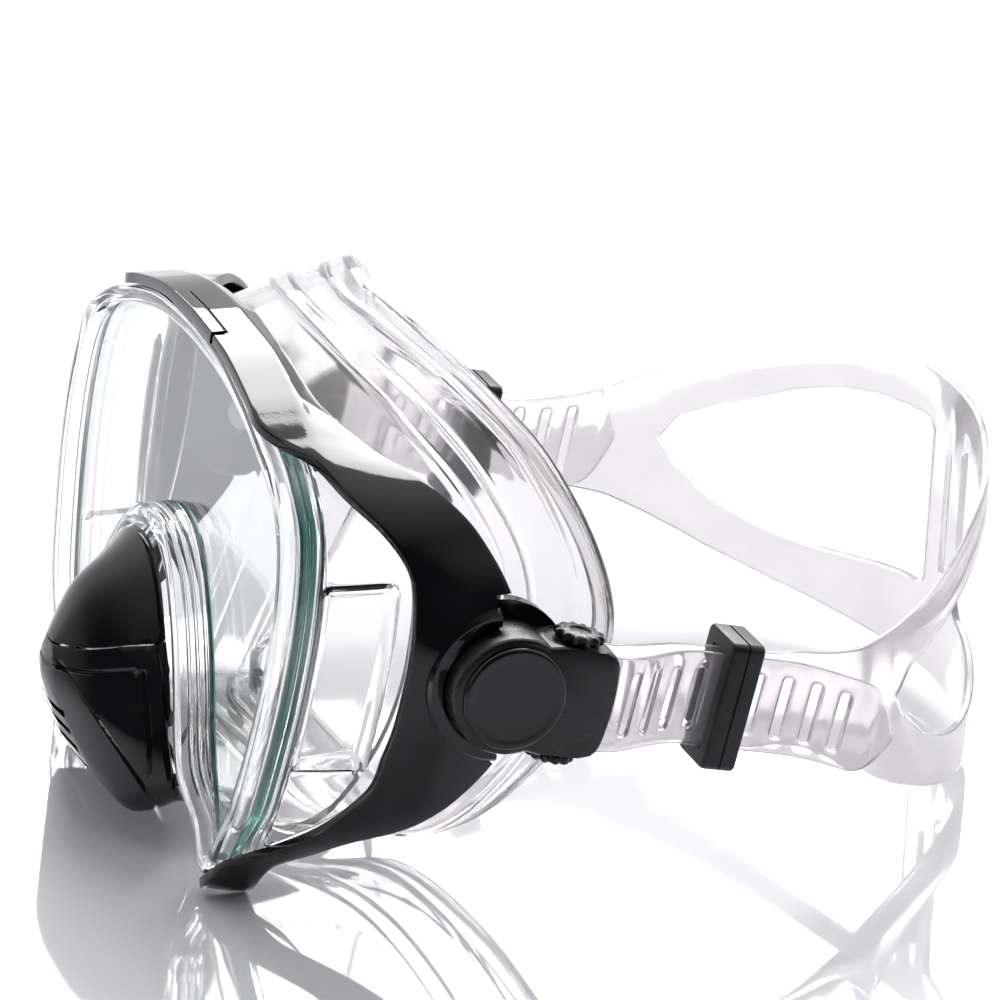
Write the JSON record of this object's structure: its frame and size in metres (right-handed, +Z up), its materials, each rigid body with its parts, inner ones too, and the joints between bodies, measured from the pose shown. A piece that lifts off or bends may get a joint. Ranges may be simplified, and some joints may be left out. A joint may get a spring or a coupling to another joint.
{
  "type": "diving mask",
  "caption": "Diving mask with a tempered front lens, clear side windows, a nose piece with a purge valve, a clear skirt and a split silicone strap on swivel buckles.",
  "frame": {"origin": "centre of the mask's bounding box in X and Y, on the surface it rests on", "axes": "+X to the wearer's left, which is the side towards the viewer, -Y out through the front lens, +Y back towards the head strap, +Z up"},
  "size_m": [0.1806, 0.1985, 0.1054],
  "materials": {
    "tempered_glass": "clear tempered glass with a dark green edge",
    "clear_polycarbonate": "clear moulded plastic, polished",
    "gloss_black": "high gloss black plastic",
    "satin_black": "fine satin black plastic",
    "clear_silicone": "clear silicone with a soft gloss",
    "strap_silicone": "clear silicone with a slightly rosy edge",
    "valve_silicone": "thin translucent silicone",
    "stainless_steel": "turned stainless steel"
  },
  "bodies": {
    "mask": {"lens_bezel": "clear_polycarbonate", "front_lens": "tempered_glass", "side_window_left": "clear_polycarbonate", "side_window_right": "clear_polycarbonate", "frame": "gloss_black", "frame_clip": "gloss_black", "skirt": "clear_silicone", "nose_cover": "gloss_black", "purge_housing": "satin_black", "purge_seat": "satin_black", "pivot_post_left": "stainless_steel", "pivot_post_right": "stainless_steel"},
    "purge_flap": {"purge_flap": "valve_silicone"},
    "strap_set": {"strap": "strap_silicone", "buckle_body_left": "satin_black", "buckle_body_right": "satin_black", "buckle_cap_left": "gloss_black", "buckle_cap_right": "gloss_black"},
    "roller_left": {"strap_roller_left": "satin_black"},
    "roller_right": {"strap_roller_right": "satin_black"},
    "catch_left": {"release_catch_left": "satin_black"},
    "catch_right": {"release_catch_right": "satin_black"},
    "keeper_left": {"strap_keeper_left": "satin_black"},
    "keeper_right": {"strap_keeper_right": "satin_black"}
  },
  "joints": [
    {"name": "strap_swing", "type": "hinge", "parent": "mask", "child": "strap_set", "pos_m": [0, -0.03145, 0.05128], "axis": [1, 0, 0], "range_deg": [-20, 40]},
    {"name": "purge_flap_lift", "type": "slide", "parent": "mask", "child": "purge_flap", "axis": [0, -0.9063, -0.4226], "range_m": [0, 0.0008], "stiffness_N_per_m": 40, "springref_m": -0.0004},
    {"name": "strap_roller_turn_left", "type": "hinge", "parent": "strap_set", "child": "roller_left", "pos_m": [0.0833, -0.01913, 0.04862], "axis": [0, 0.2113, 0.9774], "continuous": true},
    {"name": "release_catch_press_left", "type": "hinge", "parent": "strap_set", "child": "catch_left", "pos_m": [0.07805, -0.0205, 0.04891], "axis": [0, 0.2113, 0.9774], "range_deg": [0, 7], "stiffness_Nm_per_rad": 0.05},
    {"name": "strap_keeper_slide_left", "type": "slide", "parent": "strap_set", "child": "keeper_left", "axis": [0, 0.9774, -0.2113], "range_m": [-0.003, 0.003]},
    {"name": "strap_roller_turn_right", "type": "hinge", "parent": "strap_set", "child": "roller_right", "pos_m": [-0.0833, -0.01913, 0.04862], "axis": [0, 0.2113, 0.9774], "continuous": true},
    {"name": "release_catch_press_right", "type": "hinge", "parent": "strap_set", "child": "catch_right", "pos_m": [-0.07805, -0.0205, 0.04891], "axis": [0, -0.2113, -0.9774], "range_deg": [0, 7], "stiffness_Nm_per_rad": 0.05},
    {"name": "strap_keeper_slide_right", "type": "slide", "parent": "strap_set", "child": "keeper_right", "axis": [0, 0.9774, -0.2113], "range_m": [-0.003, 0.003]}
  ]
}
